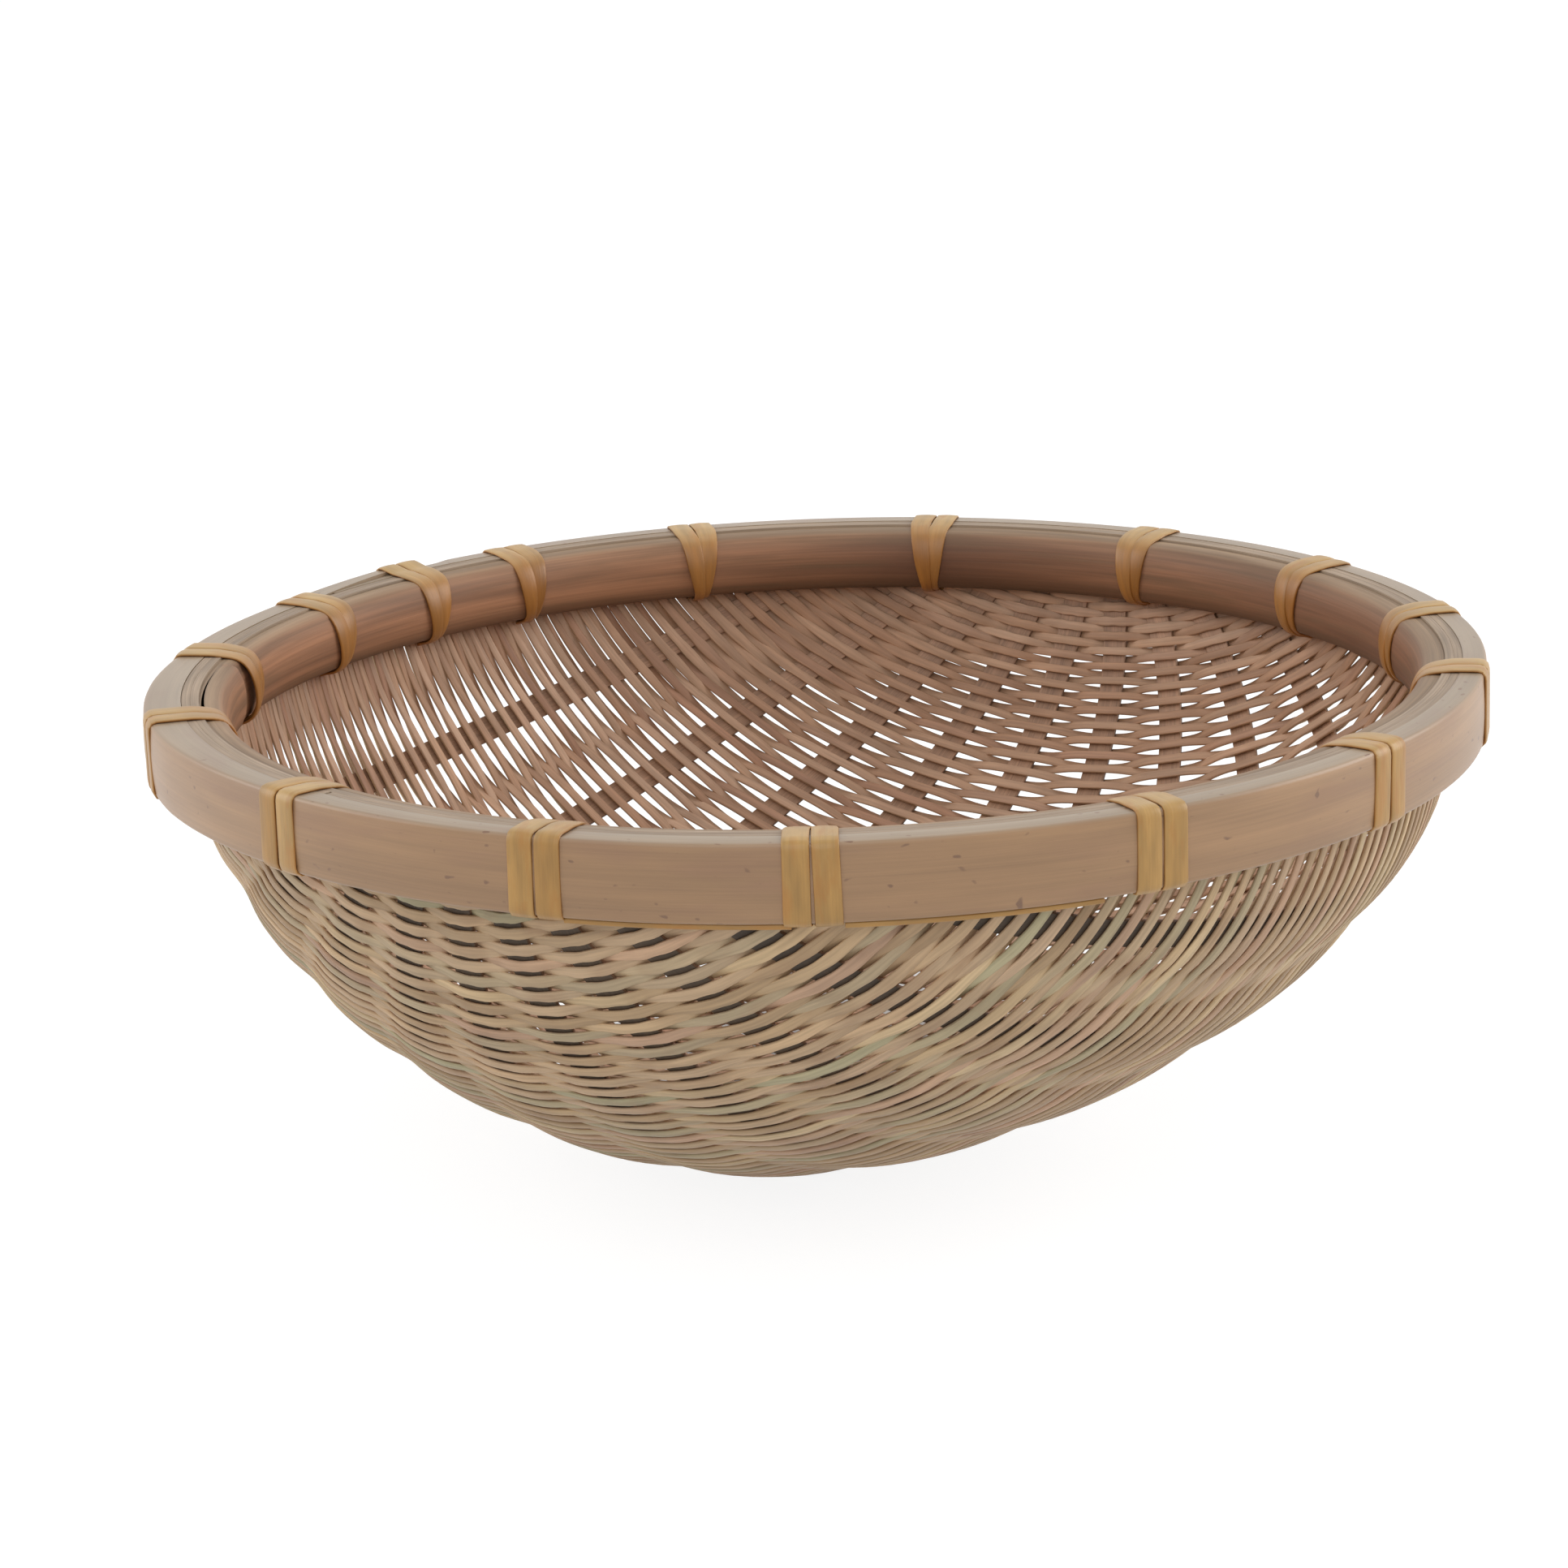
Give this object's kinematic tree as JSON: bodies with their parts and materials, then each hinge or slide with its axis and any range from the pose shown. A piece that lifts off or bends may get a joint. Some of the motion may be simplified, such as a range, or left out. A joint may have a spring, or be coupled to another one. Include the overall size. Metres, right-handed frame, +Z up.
{
  "type": "round bowl basket",
  "caption": "Round bamboo bowl basket of fine split wefts woven over flat stakes, with a double hoop rim lashed by cane, for draining, rinsing and serving food.",
  "frame": {"origin": "on the rim's centre line, at the underside of the flat foot", "axes": "+Z up towards the mouth, +Y along the stakes, +X along the wefts"},
  "size_m": [0.3012, 0.3014, 0.1176],
  "materials": {
    "hoop": "split bamboo strip, smooth outer skin, aged to a warm tan, low sheen",
    "edge_strip": "thin bamboo strip on edge, weathered grey brown, matt",
    "cane": "peeled cane, golden straw, soft sheen",
    "stake": "flat split bamboo, reddish brown, matt",
    "weft": "fine split bamboo strips, grey beige outside and reddish brown inside, matt"
  },
  "bodies": {
    "root": {"binding_01": "cane", "binding_02": "cane", "binding_03": "cane", "binding_04": "cane", "binding_05": "cane", "binding_06": "cane", "binding_07": "cane", "binding_08": "cane", "binding_09": "cane", "binding_10": "cane", "binding_11": "cane", "binding_12": "cane", "binding_13": "cane", "binding_14": "cane", "binding_15": "cane", "binding_16": "cane", "cane_run_01": "cane", "cane_run_02": "cane", "edge_strip_01": "edge_strip", "edge_strip_02": "edge_strip", "inner_hoop": "hoop", "outer_hoop": "hoop", "stake_01": "stake", "stake_02": "stake", "stake_03": "stake", "stake_04": "stake", "stake_05": "stake", "stake_06": "stake", "stake_07": "stake", "stake_08": "stake", "stake_09": "stake", "stake_10": "stake", "woven_wefts": "weft"}
  },
  "joints": []
}
